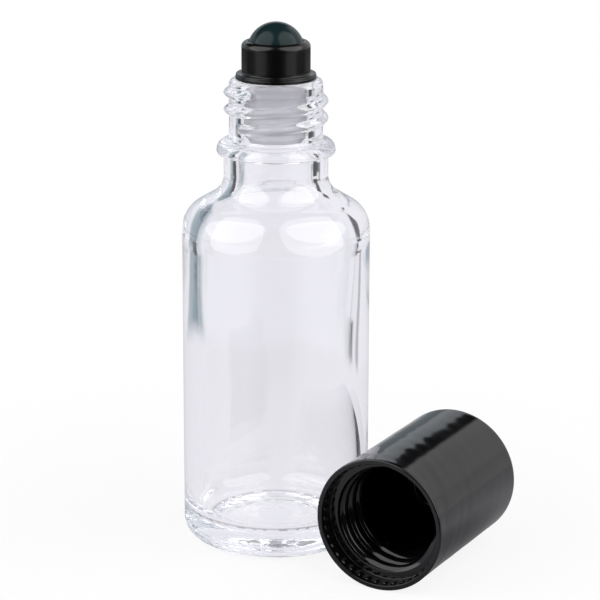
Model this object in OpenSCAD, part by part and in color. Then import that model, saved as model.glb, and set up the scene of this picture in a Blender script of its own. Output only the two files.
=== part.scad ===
// Roll on bottle, in millimetres. A clear glass bottle with a screw neck holds a plug pressed into
// its bore. The plug snaps into a black housing, and the two trap the ball between them. The black
// screw cap is off and lies on its side by the bottle, with its mouth to the front.
// The bottle stands on the origin, neck up.

/* [Glass body] */
// Outside diameter of the body
body_d = 33; // [31:0.5:38]
// Height of the glass, from the table to the lip
glass_h = 83; // [78:0.5:95]
// Thickness of the side wall
wall_t = 2.5; // [2:0.1:3]
// Thickness of the base at its middle
base_t = 3.5; // [3:0.1:5]
// Height of the hollow under the base
push_up = 1.2; // [0.8:0.1:2]
// Width of the flat ring that the bottle stands on
foot_w = 1.4; // [1:0.1:2]
// Radius of the heel, where the side meets the foot
heel_r = 3.5; // [2.5:0.1:4.5]
// Radius inside, where the side meets the floor
inner_heel_r = 4; // [3:0.1:5]
// How far the floor inside rises to its middle
floor_rise = 0.7; // [0.3:0.1:1.2]
// Radius where the side turns into the shoulder
corner_r = 5.2; // [4.5:0.1:6]
// Slope of the shoulder from level, in degrees
shoulder_slope = 31; // [27:1:36]
// Radius of the hollow curve from the shoulder into the neck
throat_r = 4.1; // [3:0.1:5]

/* [Neck] */
// Height of the neck, from the end of the hollow curve to the lip
neck_h = 16.8; // [15.8:0.1:19]
// Diameter of the neck above the bead, at the root of the screw thread
finish_d = 16.4; // [15:0.1:18]
// Thickness of the glass from the bore to the root of the thread
finish_t = 2.6; // [2.2:0.05:2.8]
// Height of the screw thread, which the cap's bore clears
thread_out = 0.9; // [0.7:0.05:1]
// How far the bead, which the cap closes down to, stands out of the neck above it
bead_out = 2.2; // [2:0.05:2.4]
// Height of the bead
bead_t = 2.4; // [2.2:0.05:2.8]
// Distance from the lip down to the underside of the bead
bead_drop = 13.05; // [12.8:0.05:13.6]
// Radius on the top edge of the bead
bead_round = 1.8; // [1.2:0.05:1.9]
// How far the neck below the bead stands out of the neck above it
neck_out = 0.95; // [0.6:0.05:1]
// Thickness of the glass round the neck below the bore
neck_t = 2.65; // [2.3:0.05:3]
// Radius on the outside of the lip
lip_round = 1; // [0.5:0.1:1.1]
// Length of the straight bore, from the lip down
bore_h = 11.5; // [11:0.1:12.5]

/* [Ball and housing] */
// Diameter of the ball
ball_d = 10; // [9.6:0.1:10.2]
// Running clearance all round the ball
ball_gap = 0.06; // [0.03:0.01:0.1]
// Depth of the ball's centre below the rim that keeps it in
ball_sink = 1.75; // [1.4:0.05:2]
// Height of the housing, from the lip to its rim
housing_h = 6.6; // [6.2:0.1:7.2]
// Wall of the housing at the ball's widest place
collar_t = 0.94; // [0.8:0.02:1.2]
// Width of the flat on top of the rim, between its rounded outside and its hole
rim_land = 0.05; // [0.02:0.01:0.4]
// Thickness of the flange that sits on the lip
flange_t = 1; // [0.9:0.1:1.4]
// How far the flange stands out of the collar
flange_out = 1.05; // [0.8:0.05:1.2]

/* [Seat plug] */
// Clearance between the plug's sealing rings and the bore
seal_gap = 0.03; // [0.01:0.01:0.08]
// Clearance between the plug's skirt and the bore
skirt_gap = 0.4; // [0.3:0.05:0.5]
// Wall of the skirt
skirt_t = 0.95; // [0.7:0.05:1.2]
// Distance from the plug's lower end to the end of the straight bore
plug_end_gap = 0.9; // [0.5:0.1:1.5]
// Number of sealing rings
seal_count = 3; // [2:1:3]
// Depth of the first sealing ring below the lip
seal_first = 2.2; // [1.8:0.1:2.6]
// Distance from one sealing ring to the next
seal_pitch = 2.4; // [2:0.1:2.6]
// Height of a sealing ring
seal_w = 1; // [0.8:0.1:1.2]
// Height of the cup above the lip
cup_h = 3; // [2.6:0.1:3.4]
// How far the outside of the cup stands out past the ball's hole
cup_step = 0.34; // [0.3:0.02:0.4]
// Thickness of the floor under the ball
floor_t = 1.2; // [1:0.1:1.6]
// Diameter of the hole that feeds the ball
feed_d = 6.2; // [5.6:0.1:6.8]
// Clearance between the plug and the housing
plug_fit = 0.05; // [0.03:0.01:0.08]
// How far the snap bead stands out of the cup
snap_out = 0.25; // [0.15:0.05:0.35]
// Height of the snap bead
snap_w = 0.6; // [0.4:0.05:0.7]

/* [Cap] */
// Wall of the cap's mouth
mouth_t = 0.9; // [0.7:0.05:1.6]
// Length of the cap
cap_h = 32; // [29:0.5:36]
// Thickness of the closed end
cap_top_t = 1.5; // [1.2:0.1:2.2]
// Radius on the edge of the closed end
cap_edge_r = 0.8; // [0.4:0.1:1.2]
// Radius on the edge of the mouth
mouth_edge_r = 0.3; // [0.1:0.05:0.4]
// Clearance between the mouth and the bead
bead_gap = 0.35; // [0.2:0.05:0.5]
// How far the closed cap's mouth reaches below the bead
mouth_below = 0.6; // [0.1:0.05:0.8]
// Space left above the bead in the closed cap
mouth_above = 0.4; // [0.1:0.05:0.6]
// Clearance between the cap's bore and the screw thread
thread_gap = 0.25; // [0.15:0.05:0.3]
// Diameter of the hole in the ring that presses on the ball
press_d = 6.8; // [6:0.1:7.4]
// Wall of that ring
press_t = 1.2; // [0.9:0.1:1.5]

/* [Place of the cap] */
// Gap between the bottle's side and the cap's side
cap_gap = 0.7; // [0.3:0.1:3]
// Distance from the bottle's axis forward to the cap's mouth
cap_ahead = 17.5; // [5:0.5:30]

/* [Hidden] */
$fn = 96;
// Straight pieces in each rounded stretch of an outline
arc_steps = 8;

// Radii that the pieces share
body_r = body_d / 2;
inner_r = body_r - wall_t;
finish_r = finish_d / 2;
bore_r = finish_r - finish_t;
neck_r = finish_r + neck_out;
bead_r = finish_r + bead_out;
ball_r = ball_d / 2;

// Foot of the bottle, and the floor inside it
foot_r = body_r - heel_r;
foot_in_r = foot_r - foot_w;
floor_r = inner_r - inner_heel_r;
floor_z = push_up + base_t - floor_rise;

// Shoulder: a corner arc, a straight slope and the throat, from the neck down
throat_z = glass_h - neck_h;
throat_x = neck_r + throat_r;
corner_x = body_r - corner_r;
slope_x = corner_x - throat_x + (corner_r + throat_r) * sin(shoulder_slope);
slope_drop = slope_x * tan(shoulder_slope);
corner_z = throat_z - slope_drop - (corner_r + throat_r) * cos(shoulder_slope);

// Bead on the neck: its underside is rounded with most of the height that its rounded top leaves,
// and a hollow curve starts above it where that top ends
bead_bottom = glass_h - bead_drop;
bead_top = bead_bottom + bead_t;
under_share = 3 / 4;
bead_under_r = (bead_t - bead_round) * under_share;
bead_root_r = bead_out - bead_round;

// Bore, which opens out over most of the way from its end down to the throat
lip_in_r = lip_round / 2;
bore_end = glass_h - bore_h;
taper_share = 2 / 3;
taper_end = bore_end - taper_share * (bore_end - throat_z);

// Ball, the spherical seat round it and the rim that keeps it in
rim_z = glass_h + housing_h;
ball_z = rim_z - ball_sink;
seat_r = ball_r + ball_gap;
rim_angle = asin(ball_sink / seat_r);
rim_hole_r = seat_r * cos(rim_angle);
rim_bevel = collar_t / 6;
collar_r = seat_r + collar_t;
rim_round = collar_r - rim_hole_r - rim_bevel - rim_land;

// Flange, with a step in its edge that leaves a fine line round it
flange_r = collar_r + flange_out;
flange_step = flange_t / 5;
flange_edge = flange_t / 3;

// Plug: its cup in the housing, and its skirt in the bore
cup_r = seat_r + cup_step;
cup_top = glass_h + cup_h;
cup_angle = -asin((ball_z - cup_top) / seat_r);
feed_angle = -acos(feed_d / 2 / seat_r);
skirt_r = bore_r - skirt_gap;
skirt_in_r = skirt_r - skirt_t;
skirt_end = bore_end + plug_end_gap;
plug_floor_z = ball_z - seat_r - floor_t;
seal_r = bore_r - seal_gap;
snap_z = glass_h + flange_t / 2;

// Cap, worked out from where its mouth is when it is screwed down
closed_z = bead_bottom - mouth_below;
mouth_r = bead_r + bead_gap;
cap_r = mouth_r + mouth_t;
mouth_depth = mouth_below + bead_t + mouth_above;
thread_root_r = finish_r + thread_out + thread_gap;
press_r = press_d / 2;
press_end = ball_z + sqrt(ball_r * ball_r - press_r * press_r) - closed_z;
cap_inner_h = cap_h - cap_top_t;
cap_corner_r = cap_top_t / 2;
cap_x = body_r + cap_gap + cap_r;

// Points on an arc about [x, y], from angle a to angle b
function arc(x, y, r, a, b) =
    [for (i = [0:arc_steps]) let (t = a + (b - a) * i / arc_steps) [x + r * cos(t), y + r * sin(t)]];

// Points on a shallow dome from the axis at height top out to radius r, falling by rise
function dome(r, top, rise) =
    let (big = (r * r + rise * rise) / (2 * rise))
    arc(0, top - big, big, 90, acos(r / big));

// The same points in the other order
function reversed(points) = [for (i = [len(points) - 1:-1:0]) points[i]];

// Outside of the glass, from the middle of the base up to the lip
function glass_outside() = concat(
    dome(foot_in_r, push_up, push_up),
    arc(foot_r, heel_r, heel_r, 270, 360),
    arc(corner_x, corner_z, corner_r, 0, 90 - shoulder_slope),
    arc(throat_x, throat_z, throat_r, 270 - shoulder_slope, 180),
    [[neck_r, bead_bottom]],
    arc(bead_r - bead_under_r, bead_bottom + bead_under_r, bead_under_r, 270, 360),
    arc(bead_r - bead_round, bead_top - bead_round, bead_round, 0, 90),
    arc(finish_r + bead_root_r, bead_top + bead_root_r, bead_root_r, 270, 180),
    arc(finish_r - lip_round, glass_h - lip_round, lip_round, 0, 90)
);

// Inside of the glass, from the lip down to the middle of the floor
function glass_inside() = concat(
    arc(bore_r + lip_in_r, glass_h - lip_in_r, lip_in_r, 90, 180),
    [[bore_r, bore_end], [neck_r - neck_t, taper_end]],
    arc(throat_x, throat_z, throat_r + neck_t, 180, 270 - shoulder_slope),
    arc(corner_x, corner_z, corner_r - wall_t, 90 - shoulder_slope, 0),
    arc(floor_r, floor_z + inner_heel_r, inner_heel_r, 360, 270),
    reversed(dome(floor_r, floor_z + floor_rise, floor_rise))
);

// Clear glass bottle, blown in one piece
module bottle() {
    color([0.85, 0.92, 0.92, 0.4])
    rotate_extrude()
    polygon(concat(glass_outside(), glass_inside()));
}

// One band round the axis with a half round edge, standing out from radius inner to radius outer
module round_band(inner, outer, height, middle) {
    edge = min(height / 2, (outer - inner));
    rotate_extrude()
    polygon(concat(
        [[inner, middle - height / 2]],
        arc(outer - edge, middle - height / 2 + edge, edge, 270, 360),
        arc(outer - edge, middle + height / 2 - edge, edge, 0, 90),
        [[inner, middle + height / 2]]
    ));
}

// Soft plug: a hollow skirt with sealing rings, a floor with the feed hole, and the ball's cup
module seat_plug() {
    color([0.86, 0.87, 0.9, 0.8])
    union() {
        rotate_extrude()
        polygon(concat(
            [[skirt_in_r, skirt_end], [skirt_r - skirt_t / 2, skirt_end], [skirt_r, skirt_end + skirt_t]],
            [[skirt_r, glass_h], [cup_r, glass_h], [cup_r, cup_top - plug_fit]],
            arc(0, ball_z, seat_r, cup_angle, feed_angle),
            [[feed_d / 2, plug_floor_z], [skirt_in_r, plug_floor_z]]
        ));
        for (i = [0:seal_count - 1])
            round_band(skirt_r - skirt_t / 2, seal_r, seal_w, glass_h - seal_first - i * seal_pitch);
        round_band(cup_r - cup_step, cup_r + snap_out, snap_w, snap_z);
    }
}

// Black housing: a flange on the lip and a collar whose rim closes in over the ball
module ball_housing() {
    color([0.06, 0.06, 0.06])
    difference() {
        rotate_extrude()
        polygon(concat(
            [[cup_r + plug_fit, glass_h], [flange_r, glass_h], [flange_r, glass_h + flange_t - flange_step * 2]],
            [[flange_r - flange_step, glass_h + flange_t - flange_step * 2]],
            arc(flange_r - flange_step - flange_edge, glass_h + flange_t - flange_edge, flange_edge, 0, 90),
            [[collar_r, glass_h + flange_t]],
            arc(collar_r - rim_round, rim_z - rim_round, rim_round, 0, 90),
            [[rim_hole_r + rim_bevel, rim_z]],
            arc(0, ball_z, seat_r, rim_angle - asin(rim_bevel / seat_r), 0),
            [[seat_r, cup_top], [cup_r + plug_fit, cup_top]]
        ));
        round_band(cup_r - cup_step, cup_r + snap_out + plug_fit, snap_w + plug_fit * 2, snap_z);
    }
}

// Ball that rolls the liquid on
module ball() {
    color([0.13, 0.2, 0.21])
    translate([0, 0, ball_z])
    sphere(r = ball_r);
}

// Cap standing on its mouth, with its axis up
module cap_upright() {
    rotate_extrude()
    polygon(concat(
        [[mouth_r, 0]],
        arc(cap_r - mouth_edge_r, mouth_edge_r, mouth_edge_r, 270, 360),
        arc(cap_r - cap_edge_r, cap_h - cap_edge_r, cap_edge_r, 0, 90),
        [[0, cap_h], [0, cap_inner_h], [press_r, cap_inner_h], [press_r, press_end]],
        [[press_r + press_t, press_end], [press_r + press_t, cap_inner_h]],
        arc(thread_root_r - cap_corner_r, cap_inner_h - cap_corner_r, cap_corner_r, 90, 0),
        [[thread_root_r, mouth_depth], [mouth_r, mouth_depth]]
    ));
}

// Black screw cap, lying on its side with its mouth to the front
module cap() {
    color([0.08, 0.08, 0.09])
    translate([cap_x, -cap_ahead, cap_r])
    rotate([-90, 0, 0])
    cap_upright();
}

bottle();
seat_plug();
ball_housing();
ball();
cap();
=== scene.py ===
import math
import bpy
import numpy as np
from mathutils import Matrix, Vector


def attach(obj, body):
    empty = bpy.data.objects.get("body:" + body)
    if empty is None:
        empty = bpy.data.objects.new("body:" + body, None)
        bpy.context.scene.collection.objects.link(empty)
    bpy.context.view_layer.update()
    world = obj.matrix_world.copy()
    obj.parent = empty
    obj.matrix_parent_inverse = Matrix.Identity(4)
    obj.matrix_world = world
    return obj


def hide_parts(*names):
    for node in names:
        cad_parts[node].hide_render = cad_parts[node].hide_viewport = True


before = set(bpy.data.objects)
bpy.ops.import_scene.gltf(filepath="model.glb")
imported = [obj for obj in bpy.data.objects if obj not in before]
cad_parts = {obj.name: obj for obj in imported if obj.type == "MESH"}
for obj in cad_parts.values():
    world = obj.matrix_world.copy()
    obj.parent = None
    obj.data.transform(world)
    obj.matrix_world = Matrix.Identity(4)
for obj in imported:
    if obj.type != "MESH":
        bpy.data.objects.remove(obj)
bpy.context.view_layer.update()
mm = 0.001
tiny = 1e-6  # heights or radii in mm that differ by less are the same
cameraTurn = 28  # the photo's camera looks along the frame's +Y turned this many degrees to the left
print("frame loaded:", sorted(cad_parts))


# helpers for colours, nodes and meshes

def linearColour(text):
    # sRGB hex to the linear values that the shaders want
    parts = np.array([int(text[i:i + 2], 16) for i in (0, 2, 4)]) / 255
    linear = np.where(parts <= 0.04045, parts / 12.92, ((parts + 0.055) / 1.055) ** 2.4)
    return (*linear.tolist(), 1.0)


def feed(tree, socket, value):
    # an input takes a plain value or a link, and a node gives the first of its outputs that is in use
    if isinstance(value, bpy.types.Node):
        value = next(output for output in value.outputs if output.enabled)
    if isinstance(value, bpy.types.NodeSocket):
        tree.links.new(value, socket)
    else:
        socket.default_value = value


def addNode(tree, kind, settings=None, inputs=None):
    # one node: settings are its own values, inputs are what its sockets take
    node = tree.nodes.new(kind)
    for name, value in (settings or {}).items():
        setattr(node, name, value)
    for name, value in (inputs or {}).items():
        feed(tree, node.inputs[name], value)
    return node


def emptyMaterial(name):
    material = bpy.data.materials.new(name)
    material.use_nodes = True
    material.node_tree.nodes.clear()
    output = addNode(material.node_tree, "ShaderNodeOutputMaterial")
    return material, material.node_tree, output


def arcPoints(x, z, radius, start, end, steps):
    # points on an arc, both ends included: x + radius * cos, z + radius * sin of angles in degrees
    t = np.radians(np.linspace(start, end, steps + 1))
    return np.stack([x + radius * np.cos(t), z + radius * np.sin(t)], 1)


def linePoints(x0, z0, x1, z1, steps):
    # points on a straight line without its two ends: start * (1 - t) + end * t
    t = np.linspace(0, 1, steps + 1)[1:-1, None]
    return np.array([[x0, z0]]) * (1 - t) + np.array([[x1, z1]]) * t


def bulgePoints(radius, stand, middle, height, steps):
    # half an ellipse that stands out of a wall, from its lower to its upper end: stand * sqrt(1 - t squared)
    t = np.linspace(-1, 1, steps + 1)
    return np.stack([radius + stand * np.sqrt(1 - t ** 2), middle + t * height / 2], 1)


def easedPoints(x, z, start, end, reach, steps):
    # a smooth bend from (x, z): the heading eases from start to end, in degrees, until x has moved to reach
    t = (np.arange(steps) + 0.5) / steps
    heading = np.radians(start + (end - start) * t * t * (3 - 2 * t))
    stride = (reach - x) / np.cos(heading).sum()
    return np.stack([x + stride * np.cumsum(np.cos(heading)), z + stride * np.cumsum(np.sin(heading))], 1)


def domePoints(radius, top, rise, steps):
    # shallow dome from the axis at height top, out to radius and down by rise
    big = (radius * radius + rise * rise) / (2 * rise)
    return arcPoints(0, top - big, big, 90, math.degrees(math.acos(radius / big)), steps)


def turnedGrid(outline, columns):
    # an outline of (radius, height) turned about the axis: radius * cos, radius * sin, height
    angle = np.arange(columns) * 2 * math.pi / columns
    radius = np.repeat(outline[:, :1], columns, 1)
    height = np.repeat(outline[:, 1:], columns, 1)
    return radius, np.repeat(angle[None, :], len(outline), 0), height


def closedRows(*grids):
    # the first row again after the last, for an outline that runs round to where it began
    return [np.concatenate([grid, grid[:1]]) for grid in grids]


def gridObject(name, radius, angle, height, body, place=None):
    # rows of a turned outline become quads, and a row on the axis becomes one point with a fan of triangles
    points = np.stack([radius * np.cos(angle), radius * np.sin(angle), height], 2) * mm
    if place is not None:
        points = place(points)
    columns = radius.shape[1]
    pole = np.abs(radius).max(1) < tiny
    size = np.where(pole, 1, columns)
    first = np.concatenate([[0], np.cumsum(size)[:-1]])
    index = first[:, None] + np.where(pole[:, None], 0, np.arange(columns)[None, :])
    across = np.roll(index, -1, 1)
    quads = np.stack([index[:-1], across[:-1], across[1:], index[1:]], 2)
    faces = quads[~(pole[:-1] | pole[1:])].reshape(-1, 4).tolist()
    for i in np.nonzero(pole[:-1] & ~pole[1:])[0]:
        faces += quads[i][:, [0, 2, 3]].tolist()
    for i in np.nonzero(pole[1:] & ~pole[:-1])[0]:
        faces += quads[i][:, [0, 1, 2]].tolist()
    kept = np.ones(radius.shape, bool)
    kept[pole, 1:] = False
    mesh = bpy.data.meshes.new(name)
    mesh.from_pydata(points[kept].tolist(), [], faces)
    mesh.polygons.foreach_set("use_smooth", np.ones(len(mesh.polygons), bool))
    mesh.update()
    piece = bpy.data.objects.new(name, mesh)
    bpy.context.scene.collection.objects.link(piece)
    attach(piece, body)
    print(name, len(mesh.vertices), "points")
    return piece


def faded(value, start, end):
    # 0 up to start and 1 from end on, straight between them; end may be the lower one
    return np.clip((value - start) / (end - start), 0, 1)


def bell(value, middle, width):
    # 1 at the middle, falling off smoothly to both sides
    return np.exp(-((value - middle) / width) ** 2)


def wobble(angle, height, waves):
    # slow unevenness of a wall: a sum of sines, each (turns, waves per mm, phase, amount in mm)
    total = np.zeros_like(angle)
    for turns, perMm, phase, amount in waves:
        total += amount * np.sin(turns * angle + 2 * math.pi * perMm * height + phase)
    return total


def helixRidge(angle, height, ridge):
    # rounded ridge along a right-hand helix: its height times the cosine of how far off its centre line a
    # point is, where half its width is a quarter turn, and eased in and out at its two ends
    total = np.zeros_like(angle)
    firstTurn = int(math.floor(math.radians(ridge["endDeg"]) / (2 * math.pi))) - 1
    lastTurn = int(math.ceil(math.radians(ridge["startDeg"]) / (2 * math.pi))) + 1
    for turn in range(firstTurn, lastTurn + 1):
        run = np.degrees(angle) + 360 * turn
        centre = ridge["startHeight"] + (run - ridge["startDeg"]) / 360 * ridge["pitch"]
        reach = np.clip((ridge["startDeg"] - run) / ridge["fadeDeg"], 0, 1)
        reach = reach * np.clip((run - ridge["endDeg"]) / ridge["fadeDeg"], 0, 1)
        reach = np.sin(reach * math.pi / 2)
        off = np.clip(np.abs(height - centre) / (ridge["width"] / 2), 0, 1)
        total = np.maximum(total, ridge["height"] * reach * np.cos(off * math.pi / 2) ** ridge["roundness"])
    return total


# clear glass bottle

bottle = {
    "bodyRadius": 16.5, "glassHeight": 83.0, "wall": 2.5, "baseThickness": 3.5, "pushUp": 1.2,
    "footWidth": 1.4, "heelRadius": 3.5, "innerHeelRadius": 4.0, "floorRise": 0.7,
    "cornerRadius": 5.2, "slope": 31.0, "throatRadius": 4.1, "neckHeight": 16.8, "neckFillet": 0.25,
    "finishRadius": 8.2, "finishWall": 2.6, "beadOut": 2.2, "beadHeight": 2.4, "beadDrop": 13.05,
    "beadRound": 1.8, "underShare": 0.75, "neckOut": 0.95, "neckWall": 2.65, "lipRound": 1.0,
    "boreHeight": 11.0, "boreTaper": 1.8, "columns": 224,
    "thread": {"startDeg": 246 + cameraTurn, "endDeg": -506 + cameraTurn, "startHeight": 81.2,
               "pitch": 3.0, "width": 1.9, "height": 0.9, "fadeDeg": 32, "roundness": 1.0},
    # waves of the two walls and of the floor inside; each pair is the height or radius where they are gone
    # and the one where they are full
    "innerWaves": [(2, 0.012, 0.4, 0.10), (3, -0.02, 1.9, 0.07), (5, 0.031, 3.1, 0.035),
                   (1, 0.045, 5.0, 0.05)],
    "outerWaves": [(3, 0.017, 2.2, 0.018), (7, -0.03, 0.7, 0.006)],
    "calmNeck": (70, 58), "calmAxis": (3, 9), "calmBase": (3, 8),
    "floorWaves": [(2, 0, 0.6, 0.12)], "floorBelow": 9.0, "floorMiddle": (0, 9), "floorEdge": (19.2, 7.2),
    # marks pressed by the mould: a ring of short ones under the foot and pits round the heel
    "footMarks": {"count": 54, "depth": 0.25, "radius": 12.6, "width": 1.3, "below": 2.4,
                  "strayTurns": 9, "stray": 1.3, "sharpness": 1.6,
                  "patchTurns": 5, "patchPhase": 1.1, "patchiness": 0.4},
    "heelMarks": {"count": 54, "depth": 0.2, "height": 2.2, "width": 1.0, "outside": 13.4,
                  "slant": 4, "crossTurns": 23, "crossSlant": 3, "spread": 0.3,
                  "patchTurns": 3, "patchPhase": 0.4, "patchiness": 0.45},
}


def bottleOutline(b):
    # rows of the glass from the middle of the base out, up, over the lip and down to the floor inside
    neck = b["finishRadius"] + b["neckOut"]
    bead = b["finishRadius"] + b["beadOut"]
    bore = b["finishRadius"] - b["finishWall"]
    throat = neck - b["neckWall"]
    foot = b["bodyRadius"] - b["heelRadius"]
    inner = b["bodyRadius"] - b["wall"]
    floorRadius = inner - b["innerHeelRadius"]
    floorZ = b["pushUp"] + b["baseThickness"] - b["floorRise"]
    heelZ = floorZ + b["innerHeelRadius"]
    throatZ = b["glassHeight"] - b["neckHeight"]
    throatX = neck + b["throatRadius"]
    cornerX = b["bodyRadius"] - b["cornerRadius"]
    slope = math.radians(b["slope"])
    bothRadii = b["cornerRadius"] + b["throatRadius"]
    across = cornerX - throatX + bothRadii * math.sin(slope)
    cornerZ = throatZ - across * math.tan(slope) - bothRadii * math.cos(slope)
    fillet = b["neckFillet"]
    beadLow = b["glassHeight"] - b["beadDrop"]
    beadTop = beadLow + b["beadHeight"]
    under = (b["beadHeight"] - b["beadRound"]) * b["underShare"]
    root = b["beadOut"] - b["beadRound"]
    lip = b["glassHeight"]
    lipZ = lip - b["lipRound"]
    lipInner = b["lipRound"] / 2
    boreEnd = lip - b["boreHeight"]
    taperEnd = boreEnd - b["boreTaper"]
    outside = [
        domePoints(foot - b["footWidth"], b["pushUp"], b["pushUp"], 16),
        linePoints(foot - b["footWidth"], 0, foot, 0, 5),
        arcPoints(foot, b["heelRadius"], b["heelRadius"], 270, 360, 20),
        linePoints(b["bodyRadius"], b["heelRadius"], b["bodyRadius"], cornerZ, 30),
        arcPoints(cornerX, cornerZ, b["cornerRadius"], 0, 90 - b["slope"], 18),
        arcPoints(throatX, throatZ, b["throatRadius"], 270 - b["slope"], 180, 16),
        linePoints(neck, throatZ, neck, beadLow, 4),
        arcPoints(neck + fillet, beadLow - fillet, fillet, 180, 90, 4),
        arcPoints(bead - under, beadLow + under, under, 270, 360, 8),
        arcPoints(bead - b["beadRound"], beadTop - b["beadRound"], b["beadRound"], 0, 90, 14),
        arcPoints(b["finishRadius"] + root, beadTop + root, root, 270, 180, 6),
        linePoints(b["finishRadius"], beadTop + root, b["finishRadius"], lipZ, 72),
        arcPoints(b["finishRadius"] - b["lipRound"], lipZ, b["lipRound"], 0, 90, 10),
        linePoints(b["finishRadius"] - b["lipRound"], lip, bore + lipInner, lip, 3),
        arcPoints(bore + lipInner, lip - lipInner, lipInner, 90, 180, 6),
    ]
    # the glass is thicker inside the shoulder: one smooth bend from the throat down to the wall
    throatArc = arcPoints(throatX, throatZ, b["throatRadius"] + b["neckWall"], 180, 270 - b["slope"], 18)
    bend = easedPoints(*throatArc[-1], -b["slope"], -90, inner, 36)
    inside = [
        linePoints(bore, lip - lipInner, bore, boreEnd, 10),
        [[bore, boreEnd]],
        linePoints(bore, boreEnd, throat, taperEnd, 6),
        linePoints(throat, taperEnd, throat, throatZ, 12),
        throatArc,
        bend,
        linePoints(inner, bend[-1, 1], inner, heelZ, 48),
        arcPoints(floorRadius, heelZ, b["innerHeelRadius"], 360, 270, 16),
        domePoints(floorRadius, floorZ + b["floorRise"], b["floorRise"], 12)[::-1][1:],
    ]
    return np.concatenate(outside + inside), sum(len(part) for part in outside), beadTop + root, lipZ


def patches(angle, marks):
    # moulded marks are deeper here and fainter there round the bottle
    wave = np.sin(marks["patchTurns"] * angle + marks["patchPhase"])
    return 1 - marks["patchiness"] + marks["patchiness"] * wave


def makeBottle(b):
    # the outline turned about the axis, then waves, marks and thread added to its radius and height
    outline, innerFrom, threadLow, threadHigh = bottleOutline(b)
    radius, angle, height = turnedGrid(outline, b["columns"])
    inside = np.arange(len(outline))[:, None] >= innerFrom
    # slow waves in the walls, and a floor inside that is a little uneven, as blown glass is
    calm = faded(height, *b["calmNeck"]) * faded(radius, *b["calmAxis"]) * faded(height, *b["calmBase"])
    radius = radius + inside * calm * wobble(angle, height, b["innerWaves"])
    radius = radius - ~inside * calm * np.abs(wobble(angle, height, b["outerWaves"]))
    uneven = wobble(angle, height, b["floorWaves"])
    uneven = uneven * faded(radius, *b["floorMiddle"]) * faded(radius, *b["floorEdge"])
    height = height + inside * (height < b["floorBelow"]) * uneven
    # the mould's marks under the foot
    foot = b["footMarks"]
    ring = ~inside * bell(radius, foot["radius"], foot["width"]) * (height < foot["below"])
    around = foot["count"] / 2 * angle + foot["stray"] * np.sin(foot["strayTurns"] * angle)
    marks = np.clip(np.sin(around) * foot["sharpness"], 0, 1) * patches(angle, foot)
    height = height + foot["depth"] * ring * marks
    # the mould's pits round the heel
    heel = b["heelMarks"]
    ring = ~inside * bell(height, heel["height"], heel["width"]) * (radius > heel["outside"])
    pits = np.sin(heel["count"] / 2 * angle + heel["slant"] * height)
    pits = pits * np.sin(heel["crossTurns"] * angle - heel["crossSlant"] * height)
    radius = radius - heel["depth"] * ring * np.clip(pits + heel["spread"], 0, 1) * patches(angle, heel)
    # the screw thread stands out of the finish
    onFinish = (height > threadLow - tiny) & (height < threadHigh + tiny) & ~inside
    radius = radius + onFinish * helixRidge(angle, height, b["thread"])
    return gridObject("glass_bottle", radius, angle, height, "bottle")


glassBottle = makeBottle(bottle)
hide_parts("bottle")


# seat plug, its sealing rings and the feed hole

plug = {
    "skirtRadius": 5.2, "skirtInner": 4.25, "skirtEnd": 72.4, "sealRadius": 5.57, "sealHeight": 1.0,
    "sealDepths": (2.2, 4.6, 7.0), "cupRadius": 5.4, "cupTop": 85.95, "feedRadius": 3.1,
    "floorHeight": 81.59, "snapOut": 0.25, "snapHeight": 0.6, "snapZ": 83.5, "lip": 83.0,
    "ballZ": 87.85, "seatRadius": 5.06, "columns": 128,
    # the skirt's end is drawn in, so that it finds the bore, and its edges are rounded
    "innerRound": 0.2, "tipIn": 0.62, "tipRound": 0.15, "leadHeight": 0.9, "leadRound": 0.3,
    "stepBelow": 0.05, "stepAbove": 0.02, "edgeRound": 0.1, "hollowRound": 0.3,
}


def makePlug(p):
    # outline from the lower end of the skirt up its outside, over the cup, down the seat and the hollow
    stand = p["sealRadius"] - p["skirtRadius"]
    rings = [bulgePoints(p["skirtRadius"], stand, p["lip"] - depth, p["sealHeight"], 12)
             for depth in reversed(p["sealDepths"])]
    seatTop = math.degrees(math.asin((p["ballZ"] - p["cupTop"]) / p["seatRadius"]))
    seatEnd = math.degrees(math.acos(p["feedRadius"] / p["seatRadius"]))
    small, tip, lead, edge, hollow = (p["innerRound"], p["tipRound"], p["leadRound"], p["edgeRound"],
                                      p["hollowRound"])
    outline = np.concatenate([
        arcPoints(p["skirtInner"] + small, p["skirtEnd"] + small, small, 180, 270, 4),
        arcPoints(p["skirtRadius"] - p["tipIn"], p["skirtEnd"] + tip, tip, 270, 330, 3),
        arcPoints(p["skirtRadius"] - lead, p["skirtEnd"] + p["leadHeight"], lead, -30, 0, 3),
        *rings,
        [[p["skirtRadius"], p["lip"] - p["stepBelow"]], [p["cupRadius"], p["lip"] + p["stepAbove"]]],
        bulgePoints(p["cupRadius"], p["snapOut"], p["snapZ"], p["snapHeight"], 8),
        arcPoints(p["cupRadius"] - edge, p["cupTop"] - edge, edge, 0, 90, 3),
        arcPoints(0, p["ballZ"], p["seatRadius"], -seatTop, -seatEnd, 10),
        arcPoints(p["feedRadius"] + edge, p["floorHeight"] + edge, edge, 180, 270, 3),
        arcPoints(p["skirtInner"] - hollow, p["floorHeight"] - hollow, hollow, 90, 0, 4),
        linePoints(p["skirtInner"], p["floorHeight"] - hollow, p["skirtInner"], p["skirtEnd"] + small, 8),
    ])
    return gridObject("plug_with_seals", *closedRows(*turnedGrid(outline, p["columns"])), "bottle")


seatPlug = makePlug(plug)
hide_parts("seat_plug")


# black housing with its flange

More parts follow.
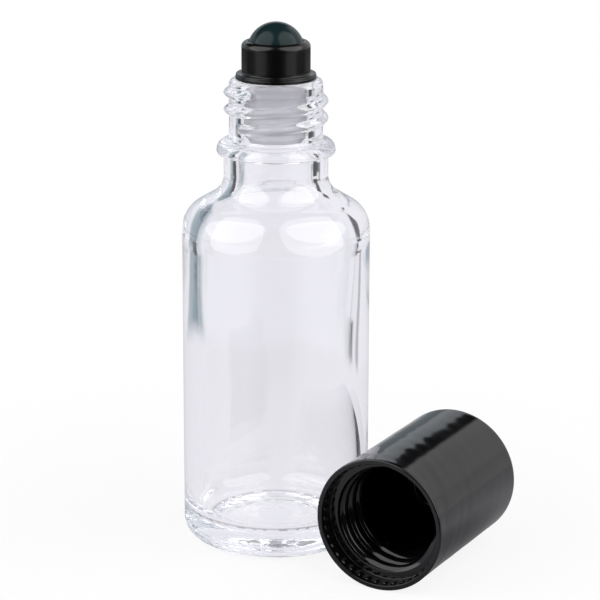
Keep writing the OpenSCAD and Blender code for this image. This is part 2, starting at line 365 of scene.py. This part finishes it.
housing = {
    "lip": 83.0, "flangeRadius": 7.05, "flangeHeight": 1.0, "flangeRound": 0.12, "stepShare": 0.6,
    "stepIn": 0.1, "stepRound": 0.05, "edge": 0.16, "collarRadius": 6.0, "collarRoot": 0.15,
    "rimZ": 89.6, "rimRound": 1.045, "rimEdge": 0.12, "rimGapDeg": 1.5, "ballZ": 87.85,
    "seatRadius": 5.06, "cavityRadius": 5.45, "cavityTop": 86.0, "mouthEdge": 0.02,
    "grooveOut": 0.25, "grooveZ": 83.5, "grooveHeight": 0.7, "columns": 160,
}


def makeHousing(h):
    # outline from the cavity's mouth out under the flange, up the collar, over the rim and down inside
    low = h["lip"]
    step = low + h["flangeHeight"] * h["stepShare"]
    top = low + h["flangeHeight"]
    stepX = h["flangeRadius"] - h["stepIn"]
    rimAngle = math.degrees(math.asin((h["rimZ"] - h["rimEdge"] - h["ballZ"]) / h["seatRadius"]))
    rimHole = h["seatRadius"] * math.cos(math.radians(rimAngle))
    flange, small, edge, root, rim = (h["flangeRound"], h["stepRound"], h["edge"], h["collarRoot"],
                                      h["rimRound"])
    outline = np.concatenate([
        [[h["cavityRadius"] + h["mouthEdge"], low]],
        arcPoints(h["flangeRadius"] - flange, low + flange, flange, 270, 360, 4),
        arcPoints(h["flangeRadius"] - flange, step - flange, flange, 0, 90, 4),
        arcPoints(stepX + small, step + small, small, 270, 180, 3),
        arcPoints(stepX - edge, top - edge, edge, 0, 90, 6),
        arcPoints(h["collarRadius"] + root, top + root, root, 270, 180, 4),
        linePoints(h["collarRadius"], top + root, h["collarRadius"], h["rimZ"] - rim, 10),
        arcPoints(h["collarRadius"] - rim, h["rimZ"] - rim, rim, 0, 90, 12),
        arcPoints(rimHole + h["rimEdge"], h["rimZ"] - h["rimEdge"], h["rimEdge"], 90, 160, 4),
        arcPoints(0, h["ballZ"], h["seatRadius"], rimAngle - h["rimGapDeg"], 0, 8),
        [[h["seatRadius"], h["cavityTop"]], [h["cavityRadius"], h["cavityTop"]]],
        bulgePoints(h["cavityRadius"], h["grooveOut"], h["grooveZ"], h["grooveHeight"], 8)[::-1],
        [[h["cavityRadius"], low + h["mouthEdge"]]],
    ])
    return gridObject("collar_with_flange", *closedRows(*turnedGrid(outline, h["columns"])), "bottle")


ballHousing = makeHousing(housing)
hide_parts("ball_housing")


# ball

ball = {"radius": 5.0, "centreZ": 87.85, "rows": 96, "columns": 128}


def makeBall(b):
    # a sphere from its lowest to its highest point: radius * cos, centre + radius * sin of the latitude
    outline = arcPoints(0, b["centreZ"], b["radius"], -90, 90, b["rows"])
    outline[[0, -1], 0] = 0
    return gridObject("rolling_ball", *turnedGrid(outline, b["columns"]), "ball")


rollingBall = makeBall(ball)
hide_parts("ball")


# screw cap

cap = {
    "outerRadius": 11.65, "length": 32.0, "topThickness": 1.5, "edgeRadius": 0.8, "mouthEdge": 0.3,
    "mouthRadius": 10.75, "mouthRound": 0.15, "mouthDepth": 3.4, "rootRadius": 9.35, "rootEdge": 0.1,
    "threadDepth": 12.5, "endRound": 0.75, "pressRadius": 3.4, "pressWall": 1.2, "pressEnd": 22.17,
    "pressEdge": 0.2, "pressRoot": 0.3, "endRowIn": 0.15, "axisX": 28.85, "mouthAhead": 17.5, "columns": 240,
    "thread": {"startDeg": 1180, "endDeg": 0, "startHeight": 13.6, "pitch": 3.0, "width": 1.9,
               "height": 0.85, "fadeDeg": 30, "roundness": 0.9},
    "ribCount": 40, "ribShare": 0.45, "ribHeight": 0.3, "ribFrom": 0.75, "ribTo": 2.35,
    "ribSideSlope": 12, "ribEndSlope": 6,
    # sink marks of the thick wall; each pair is the height where they are gone, or weak in the case of
    # sinkNear, and the one where they are full
    "sinkWaves": [(3, 0.24, 0.3, 0.007), (8, 0.31, 2.0, 0.006), (2, 0.11, 4.1, 0.012),
                  (13, -0.2, 1.0, 0.002)],
    "sinkDepth": 0.05, "sinkBeyond": 11.0, "sinkMouth": (0, 2), "sinkEnd": (30.5, 27.5),
    "sinkNear": (20, 8), "sinkFarShare": 0.35,
}


def makeCap(c):
    # outline on the cap's own axis, mouth at zero: out over the mouth's edge, up the side, in over the end
    # and back down the inside with its press ring, thread root and mouth
    root = c["rootRadius"]
    inner = c["length"] - c["topThickness"]
    pressOut = c["pressRadius"] + c["pressWall"]
    endX = c["outerRadius"] - c["edgeRadius"]
    flatX = endX - c["endRowIn"]
    small, edge, base, end = c["mouthRound"], c["pressEdge"], c["pressRoot"], c["endRound"]
    outside = [
        arcPoints(c["mouthRadius"] + small, small, small, 180, 270, 4),
        arcPoints(c["outerRadius"] - c["mouthEdge"], c["mouthEdge"], c["mouthEdge"], 270, 360, 6),
        linePoints(c["outerRadius"], c["mouthEdge"], c["outerRadius"], c["length"] - c["edgeRadius"], 60),
        arcPoints(endX, c["length"] - c["edgeRadius"], c["edgeRadius"], 0, 90, 10),
    ]
    inside = [
        [[flatX, c["length"]]],
        linePoints(flatX, c["length"], 0, c["length"], 6),
        [[0, c["length"]], [0, inner]],
        arcPoints(c["pressRadius"] - base, inner - base, base, 90, 0, 4),
        arcPoints(c["pressRadius"] + edge, c["pressEnd"] + edge, edge, 180, 270, 4),
        arcPoints(pressOut - edge, c["pressEnd"] + edge, edge, 270, 360, 4),
        arcPoints(pressOut + base, inner - base, base, 180, 90, 4),
        arcPoints(root - end, inner - end, end, 90, 0, 6),
        linePoints(root, c["mouthDepth"] + c["threadDepth"], root, c["mouthDepth"] + c["rootEdge"], 84),
        arcPoints(root + c["rootEdge"], c["mouthDepth"] + c["rootEdge"], c["rootEdge"], 180, 270, 3),
        arcPoints(c["mouthRadius"] - small, c["mouthDepth"] - small, small, 90, 0, 4),
        linePoints(c["mouthRadius"], c["mouthDepth"] - small, c["mouthRadius"], small, 28),
    ]
    outline = np.concatenate(outside + inside)
    radius, angle, height = turnedGrid(outline, c["columns"])
    outer = np.arange(len(outline))[:, None] < sum(len(part) for part in outside)
    # sink marks on the outside only and always inwards
    calm = faded(height, *c["sinkMouth"]) * faded(height, *c["sinkEnd"]) * (radius > c["sinkBeyond"])
    share = c["sinkFarShare"] + (1 - c["sinkFarShare"]) * faded(height, *c["sinkNear"])
    radius = radius + outer * calm * share * (wobble(angle, height, c["sinkWaves"]) - c["sinkDepth"])
    # the thread inside
    onRoot = ~outer & (np.abs(radius - root) < tiny)
    radius = radius - onRoot * helixRidge(angle, height, c["thread"])
    # short ribs round the mouth
    inMouth = ~outer & (np.abs(radius - c["mouthRadius"]) < tiny)
    turn = (angle * c["ribCount"] / (2 * math.pi)) % 1
    rib = np.clip((c["ribShare"] / 2 - np.abs(turn - 0.5)) * c["ribSideSlope"], 0, 1)
    rib = rib * np.clip((height - c["ribFrom"]) * c["ribEndSlope"], 0, 1)
    rib = rib * np.clip((c["ribTo"] - height) * c["ribEndSlope"], 0, 1)
    radius = radius - inMouth * c["ribHeight"] * rib

    def lay(points):
        # the cap's own axis turns from up to the frame's +Y, and the cap rests on the floor
        x, y, z = points[..., 0], points[..., 1], points[..., 2]
        return np.stack([x + c["axisX"] * mm, z - c["mouthAhead"] * mm, c["outerRadius"] * mm - y], -1)

    return gridObject("screw_cap", *closedRows(radius, angle, height), "cap", lay)


screwCap = makeCap(cap)
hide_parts("cap")


# materials

def clearGlass():
    # soda-lime glass, blown and fire polished: clear, a faint blue grey in thick places, a hint of ripple
    material, tree, output = emptyMaterial("clear_blown_glass")
    place = addNode(tree, "ShaderNodeTexCoord")
    ripple = addNode(tree, "ShaderNodeTexNoise", None,
                     {"Vector": place.outputs["Object"], "Scale": 1 / (6 * mm), "Detail": 2.0,
                      "Roughness": 0.4})
    bump = addNode(tree, "ShaderNodeBump", None, {"Height": ripple, "Strength": 0.05, "Distance": 0.3 * mm})
    shader = addNode(tree, "ShaderNodeBsdfPrincipled", None,
                     {"Base Color": linearColour("ffffff"), "Roughness": 0.0, "IOR": 1.52,
                      "Transmission Weight": 1.0, "Normal": bump})
    tint = addNode(tree, "ShaderNodeVolumeAbsorption", None,
                   {"Color": linearColour("dfe4ea"), "Density": 5.0})
    feed(tree, output.inputs["Surface"], shader)
    feed(tree, output.inputs["Volume"], tint)
    return material


def naturalPolyethylene():
    # soft low density polyethylene, injection moulded with no dye: milky, waxy, a little light passes
    # through; its grain is really finer, and is drawn half a millimetre coarse so that it shows
    material, tree, output = emptyMaterial("natural_polyethylene")
    place = addNode(tree, "ShaderNodeTexCoord")
    grain = addNode(tree, "ShaderNodeTexNoise", None,
                    {"Vector": place.outputs["Object"], "Scale": 1 / (0.5 * mm), "Detail": 3.0})
    rough = addNode(tree, "ShaderNodeMapRange", None, {"Value": grain, "To Min": 0.42, "To Max": 0.52})
    bump = addNode(tree, "ShaderNodeBump", None, {"Height": grain, "Strength": 0.15, "Distance": 0.05 * mm})
    shader = addNode(tree, "ShaderNodeBsdfPrincipled", None,
                     {"Base Color": linearColour("fafafd"), "Roughness": rough, "IOR": 1.3,
                      "Transmission Weight": 0.84, "Normal": bump})
    feed(tree, output.inputs["Surface"], shader)
    return material


def blackPlastic(name, p):
    # polypropylene with carbon black, injection moulded: deep black under a soft, slightly uneven gloss;
    # the mould's grain is really finer, and is drawn this coarse so that it shows
    material, tree, output = emptyMaterial(name)
    place = addNode(tree, "ShaderNodeTexCoord")
    cloud = addNode(tree, "ShaderNodeTexNoise", None,
                    {"Vector": place.outputs["Object"], "Scale": 1 / (7 * mm), "Detail": 4.0,
                     "Roughness": 0.6})
    grain = addNode(tree, "ShaderNodeTexNoise", None,
                    {"Vector": place.outputs["Object"], "Scale": 1 / (p["grainMm"] * mm), "Detail": 3.0})
    rough = addNode(tree, "ShaderNodeMapRange", None,
                    {"Value": cloud, "From Min": 0.3, "From Max": 0.7, "To Min": p["roughness"][0],
                     "To Max": p["roughness"][1]})
    bump = addNode(tree, "ShaderNodeBump", None,
                   {"Height": grain, "Strength": 0.2, "Distance": p["grainDepthMm"] * mm})
    shader = addNode(tree, "ShaderNodeBsdfPrincipled", None,
                     {"Base Color": linearColour(p["colour"]), "Roughness": rough, "IOR": p["ior"],
                      "Normal": bump})
    feed(tree, output.inputs["Surface"], shader)
    return material


def darkGlass():
    # dark glass ball, ground and polished: teal black inside, a clean shine with the finest rubbing marks
    material, tree, output = emptyMaterial("dark_polished_glass")
    place = addNode(tree, "ShaderNodeTexCoord")
    smear = addNode(tree, "ShaderNodeTexNoise", None,
                    {"Vector": place.outputs["Object"], "Scale": 1 / (2 * mm), "Detail": 5.0})
    rough = addNode(tree, "ShaderNodeMapRange", None, {"Value": smear, "To Min": 0.16, "To Max": 0.22})
    shader = addNode(tree, "ShaderNodeBsdfPrincipled", None,
                     {"Base Color": linearColour("142629"), "Roughness": rough, "IOR": 1.52,
                      "Specular IOR Level": 0.21})
    feed(tree, output.inputs["Surface"], shader)
    return material


collarPlastic = {"colour": "070707", "ior": 1.49, "roughness": (0.17, 0.23), "grainMm": 0.4,
                 "grainDepthMm": 0.006}
capPlastic = {"colour": "0c0c0e", "ior": 1.5, "roughness": (0.07, 0.12), "grainMm": 0.6,
              "grainDepthMm": 0.004}
glassBottle.data.materials.append(clearGlass())
seatPlug.data.materials.append(naturalPolyethylene())
ballHousing.data.materials.append(blackPlastic("black_collar_plastic", collarPlastic))
rollingBall.data.materials.append(darkGlass())
screwCap.data.materials.append(blackPlastic("black_cap_plastic", capPlastic))
dressed = {"bottle": glassBottle, "seat_plug": seatPlug, "ball_housing": ballHousing, "ball": rollingBall,
           "cap": screwCap}
# each hidden solid wears what the piece that stands for it wears
for nodeName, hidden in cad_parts.items():
    hidden.data.materials.clear()
    hidden.data.materials.append(dressed[nodeName].data.materials[0])
print("materials set")


# floor, world, lights and camera

# stops are degrees to the right of straight behind the bottle as the camera sees it, and the colour there;
# the first four bands that glass shows begin and end alike
behindLeft = [(-180, "b0b0b4"), (-165, "b0b0b4"), (-135, "dcdcde")]
behindRight = [(135, "dcdcde"), (165, "b0b0b4"), (180, "b0b0b4")]
studio = {
    "floorRadius": 0.9, "floorCorners": 96, "floorColour": "fcfcfc", "glassTable": "ebeaf1",
    # contactShade and capShade are how dark the painted contact shadow round the foot and the painted shade
    # beside the cap are
    "glossTable": "c9c9cd", "whiteShare": 0.87, "contactShade": 0.4, "capShade": 0.6,
    "capPlace": (0.02885, -0.0015, 0),
    # where each share of the floor goes from none to full, in metres from the bottle's axis; for front along
    # the way the camera looks, for beside from the cap's place
    "fades": {"plain": (0.04, 0.12), "glassFar": (0.11, 0.14), "glossFar": (0.20, 0.30),
              "front": (-0.03, -0.09), "footInner": (0.0122, 0.0131), "footOuter": (0.0146, 0.0135),
              "beside": (0.045, 0.012)},
    # what glass shows: each band's lower edge in degrees up, softness of that edge, colours round about
    "glass": [
        (-90, 0, behindLeft + [
            (-70, "e6e6ea"), (-64, "e8e8ee"), (-60, "7a8c96"), (-46, "8797a0"), (-25, "97a6ae"),
            (-19, "f0eff7"), (32, "f0eff7"), (35, "a8a8ac"), (39, "a8a8ac"), (42, "e8e8ee"),
            (75, "e6e6ea")] + behindRight),
        (-14.8, 0.6, behindLeft + [
            (-54, "e6e6ea"), (-51, "38383b"), (-43, "38383b"), (-39, "8797a0"), (-25, "97a6ae"),
            (-19, "f0eff7"), (32, "f0eff7"), (35, "a8a8ac"), (39, "a8a8ac"), (42, "e8e8ee"),
            (46, "e8e8ee"), (52, "464649"), (63, "464649"), (68, "e6e6ea")] + behindRight),
        (-13.4, 0.2, behindLeft + [
            (-54, "e6e6ea"), (-51, "38383b"), (-43, "38383b"), (-40, "585f63"), (-38, "6a7276"),
            (-33, "a4aeb3"), (-25, "bcc4c8"), (-19, "f0eff7"), (32, "f0eff7"), (35, "88888c"),
            (40, "88888c"), (46, "505356"), (52, "464649"), (63, "464649"), (68, "e6e6ea")] + behindRight),
        (-10.8, 0.3, behindLeft + [
            (-54, "e6e6ea"), (-51, "38383b"), (-41, "38383b"), (-37, "b4bec5"), (-24, "b4bec5"),
            (-19, "f0eff7"), (46, "e6e6ea"), (52, "464649"), (63, "464649"), (68, "e6e6ea")] + behindRight),
        (-5.0, 3.5, [
            (-180, "f0eff7"), (-55, "f0eff7"), (-52, "404043"), (-43, "404043"), (-39, "7d8e98"),
            (-26, "94a4ad"), (-19, "f0eff7"), (44, "f0eff7"), (48, "404043"), (57, "404043"),
            (61, "f0eff7"), (180, "f0eff7")]),
        (9.2, 0.6, [
            (-180, "f0eff7"), (-50, "f0eff7"), (-46, "7d8e98"), (-26, "94a4ad"), (-19, "f0eff7"),
            (32, "f0eff7"), (35, "3a3a3d"), (44, "3a3a3d"), (47, "f0eff7"), (180, "f0eff7")]),
        (18.0, 2.0, [(-180, "f0eff7"), (180, "f0eff7")]),
        (30.0, 2.0, [(-180, "e4e3ea"), (180, "e4e3ea")]),
    ],
    # what gloss shows, in the same way
    "gloss": [
        (-90, 0, [
            (-180, "2a2a2a"), (-165, "2a2a2a"), (-140, "c4c4c8"), (-110, "c4c4c8"), (-98, "606063"),
            (-70, "606063"), (-60, "e0e0e4"), (0, "f4f3fb"), (60, "e0e0e4"), (70, "606063"),
            (98, "606063"), (110, "c4c4c8"), (140, "c4c4c8"), (165, "2a2a2a"), (180, "2a2a2a")]),
        (-11.3, 0.5, [
            (-180, "202020"), (-152, "202020"), (-142, "e6e6e8"), (-118, "e6e6e8"), (-106, "202020"),
            (-22, "202020"), (-12, "e8e8ec"), (12, "e8e8ec"), (22, "202020"), (106, "202020"),
            (118, "e6e6e8"), (142, "e6e6e8"), (152, "202020"), (180, "202020")]),
        (-7.0, 1.0, [
            (-180, "303030"), (-125, "303030"), (-110, "c8c8cc"), (-40, "c4cad0"), (-20, "969ea4"),
            (8, "969ea4"), (26, "dadada"), (60, "dadada"), (110, "c8c8cc"), (125, "303030"),
            (180, "303030")]),
        (11.0, 2.0, [
            (-180, "303030"), (-125, "303030"), (-110, "c8c8cc"), (-40, "d8dce0"), (-20, "dee4ea"),
            (8, "dee4ea"), (26, "e8e8e8"), (60, "e8e8e8"), (110, "c8c8cc"), (125, "303030"),
            (180, "303030")]),
        (25.5, 0.3, [
            (-180, "202020"), (23.5, "202020"), (26.5, "e4e4e4"), (75, "e4e4e4"), (95, "202020"),
            (180, "202020")]),
        (45.0, 3.0, [(-180, "383838"), (180, "383838")]),
    ],
}
# settings that several nodes share
smooth = {"interpolation_type": "SMOOTHSTEP"}
aboutUp = {"rotation_type": "Z_AXIS"}


def stackedBands(tree, rise, share, bands):
    # colours round about, one band above another, each a colour ramp by direction
    colour = None
    for height, softness, stops in bands:
        ramp = addNode(tree, "ShaderNodeValToRGB", None, {"Fac": share})
        elements = ramp.color_ramp.elements
        elements.remove(elements[1])
        for i, (degrees, text) in enumerate(stops):
            element = elements[0] if i == 0 else elements.new(1.0)
            element.position = degrees / 360 + 0.5
            element.color = linearColour(text)
        if colour is None:
            colour = ramp
            continue
        above = addNode(tree, "ShaderNodeMapRange", smooth,
                        {"Value": rise, "From Min": height - softness, "From Max": height + softness})
        colour = addNode(tree, "ShaderNodeMix", {"data_type": "RGBA"}, {0: above, 6: colour, 7: ramp})
    return colour


def makeFloor(s):
    # a pale disc. The camera sees it as plain white, but for a share of its own shading near the object, so
    # the shadow stays. Gloss and glass see only its middle and back, as they would a small table, with a
    # painted contact shadow round the bottle's foot and, in gloss, a painted shade beside the cap
    corners = s["floorCorners"]
    t = np.arange(corners) * 2 * math.pi / corners
    mesh = bpy.data.meshes.new("floor")
    points = np.stack([np.cos(t), np.sin(t), 0 * t], 1) * s["floorRadius"]
    mesh.from_pydata(points.tolist(), [], [list(range(corners))])
    floor = bpy.data.objects.new("floor", mesh)
    bpy.context.scene.collection.objects.link(floor)
    material, tree, output = emptyMaterial("floor_paper")
    place = addNode(tree, "ShaderNodeTexCoord").outputs["Object"]
    paths = addNode(tree, "ShaderNodeLightPath").outputs
    paper = addNode(tree, "ShaderNodeBsdfDiffuse", None, {"Color": linearColour(s["floorColour"])})
    white = addNode(tree, "ShaderNodeEmission", None, {"Strength": 1.0})
    clear = addNode(tree, "ShaderNodeBsdfTransparent")
    away = addNode(tree, "ShaderNodeVectorMath", {"operation": "LENGTH"}, {0: place})
    apart = addNode(tree, "ShaderNodeVectorMath", {"operation": "DISTANCE"}, {0: place, 1: s["capPlace"]})
    turn = addNode(tree, "ShaderNodeVectorRotate", aboutUp,
                   {"Vector": place, "Angle": -math.radians(cameraTurn)})
    split = addNode(tree, "ShaderNodeSeparateXYZ", None, {"Vector": turn})
    measures = {"front": split.outputs["Y"], "beside": apart}
    fade = {name: addNode(tree, "ShaderNodeMapRange", smooth,
                          {"Value": measures.get(name, away), "From Min": start, "From Max": end})
            for name, (start, end) in s["fades"].items()}
    share = addNode(tree, "ShaderNodeMath", {"operation": "MULTIPLY_ADD"},
                    {0: fade["plain"], 1: 1 - s["whiteShare"], 2: s["whiteShare"]})
    share = addNode(tree, "ShaderNodeMath", {"operation": "MULTIPLY"}, {0: share, 1: paths["Is Camera Ray"]})
    shown = addNode(tree, "ShaderNodeMixShader", None, {0: share, 1: paper, 2: white})
    # painted contact shadow: a dark ring round the bottle's foot in what glass and gloss see of the floor
    ring = addNode(tree, "ShaderNodeMath", {"operation": "MULTIPLY"},
                   {0: fade["footInner"], 1: fade["footOuter"]})
    lit = addNode(tree, "ShaderNodeMath", {"operation": "MULTIPLY_ADD"},
                  {0: ring, 1: -s["contactShade"], 2: 1.0})
    # painted shade: the paper beside the cap is darkened where the cap's shade would fall, which shows in
    # the gloss of its lower side
    bright = addNode(tree, "ShaderNodeMath", {"operation": "MULTIPLY_ADD"},
                     {0: fade["beside"], 1: -s["capShade"], 2: 1.0})
    shaded = addNode(tree, "ShaderNodeMath", {"operation": "MULTIPLY"}, {0: lit, 1: bright})
    for kind, name, light in (("Glossy", "gloss", shaded), ("Transmission", "glass", lit)):
        soft = addNode(tree, "ShaderNodeEmission", None,
                       {"Color": linearColour(s[name + "Table"]), "Strength": light})
        beyond = addNode(tree, "ShaderNodeMath", {"operation": "MAXIMUM"},
                         {0: fade[name + "Far"], 1: fade["front"]})
        table = addNode(tree, "ShaderNodeMixShader", None, {0: beyond, 1: soft, 2: clear})
        shown = addNode(tree, "ShaderNodeMixShader", None,
                        {0: paths["Is " + kind + " Ray"], 1: shown, 2: table})
    feed(tree, output.inputs["Surface"], shown)
    mesh.materials.append(material)


def makeWorld(s):
    # white to the camera; gloss and glass each see their own studio, by direction
    world = bpy.data.worlds.new("studio")
    bpy.context.scene.world = world
    world.use_nodes = True
    tree = world.node_tree
    tree.nodes.clear()
    output = addNode(tree, "ShaderNodeOutputWorld")
    paths = addNode(tree, "ShaderNodeLightPath").outputs
    place = addNode(tree, "ShaderNodeTexCoord")
    turn = addNode(tree, "ShaderNodeVectorRotate", aboutUp,
                   {"Vector": place.outputs["Generated"], "Angle": -math.radians(cameraTurn)})
    split = addNode(tree, "ShaderNodeSeparateXYZ", None, {"Vector": turn})
    around = addNode(tree, "ShaderNodeMath", {"operation": "ARCTAN2"},
                     {0: split.outputs["X"], 1: split.outputs["Y"]})
    share = addNode(tree, "ShaderNodeMath", {"operation": "MULTIPLY_ADD"},
                    {0: around, 1: 0.5 / math.pi, 2: 0.5})
    rise = addNode(tree, "ShaderNodeMath", {"operation": "ARCSINE"}, {0: split.outputs["Z"]})
    rise = addNode(tree, "ShaderNodeMath", {"operation": "MULTIPLY"}, {0: rise, 1: 180 / math.pi})
    room = addNode(tree, "ShaderNodeMix", {"data_type": "RGBA"},
                   {0: paths["Is Transmission Ray"], 6: stackedBands(tree, rise, share, s["gloss"]),
                    7: stackedBands(tree, rise, share, s["glass"])})
    seen = addNode(tree, "ShaderNodeBackground", None, {"Color": room, "Strength": 1.0})
    white = addNode(tree, "ShaderNodeBackground", None, {"Color": (1, 1, 1, 1), "Strength": 1.0})
    shown = addNode(tree, "ShaderNodeMixShader", None, {0: paths["Is Camera Ray"], 1: seen, 2: white})
    feed(tree, output.inputs["Surface"], shown)


def fromCamera(right, back, up):
    # a place given to the right of, behind and above the bottle as the camera sees it, in the shared frame
    t = math.radians(cameraTurn)
    return (right * math.cos(t) - back * math.sin(t), right * math.sin(t) + back * math.cos(t), up)


def aimed(thing, place, target):
    # put at a place, looking at a target, upright
    thing.location = place
    thing.rotation_euler = (Vector(target) - Vector(place)).to_track_quat("-Z", "Y").to_euler()


def makeLights():
    # two round softboxes either side of the camera: degrees from the camera, degrees up, metres away,
    # width, height and radiance, which times pi and the area is the power
    boxes = [("softbox_left", -66, 38, 0.62, 0.88, 0.97, 1.9),
             ("softbox_right", 64, 38, 0.62, 0.88, 0.97, 1.9)]
    aimHeight = 0.05
    for name, side, up, away, width, height, radiance in boxes:
        data = bpy.data.lights.new(name, "AREA")
        data.shape = "ELLIPSE"
        data.size = width
        data.size_y = height
        data.energy = radiance * math.pi * width * height * math.pi / 4
        lamp = bpy.data.objects.new(name, data)
        bpy.context.scene.collection.objects.link(lamp)
        flat = away * math.cos(math.radians(up))
        place = fromCamera(flat * math.sin(math.radians(side)), -flat * math.cos(math.radians(side)),
                           aimHeight + away * math.sin(math.radians(up)))
        aimed(lamp, place, (0, 0, aimHeight))


def makeCamera():
    # 450 mm from a point on the bottle's axis, looking 15 degrees down
    view = {"distance": 0.45, "pitch": 15, "aimHeight": 0.046, "focalPixels": 2548, "imagePixels": 600,
            "aimPixelX": 276, "aimPixelY": 285, "sensorWidth": 36, "clipStart": 0.01}
    data = bpy.data.cameras.new("camera")
    data.sensor_width = view["sensorWidth"]
    data.lens = view["focalPixels"] / view["imagePixels"] * view["sensorWidth"]
    half = view["imagePixels"] / 2
    data.shift_x = (half - view["aimPixelX"]) / view["imagePixels"]
    data.shift_y = (view["aimPixelY"] - half) / view["imagePixels"]
    data.clip_start = view["clipStart"]
    camera = bpy.data.objects.new("camera", data)
    bpy.context.scene.collection.objects.link(camera)
    pitch = math.radians(view["pitch"])
    place = fromCamera(0, -view["distance"] * math.cos(pitch),
                       view["aimHeight"] + view["distance"] * math.sin(pitch))
    aimed(camera, place, (0, 0, view["aimHeight"]))
    bpy.context.scene.camera = camera


makeFloor(studio)
makeWorld(studio)
makeLights()
makeCamera()
bpy.context.scene.view_settings.view_transform = "Standard"
# light that runs along inside the glass wall reflects many times
bpy.context.scene.cycles.max_bounces = 96
bpy.context.scene.cycles.glossy_bounces = 96
bpy.context.scene.cycles.transmission_bounces = 96
print("studio ready")
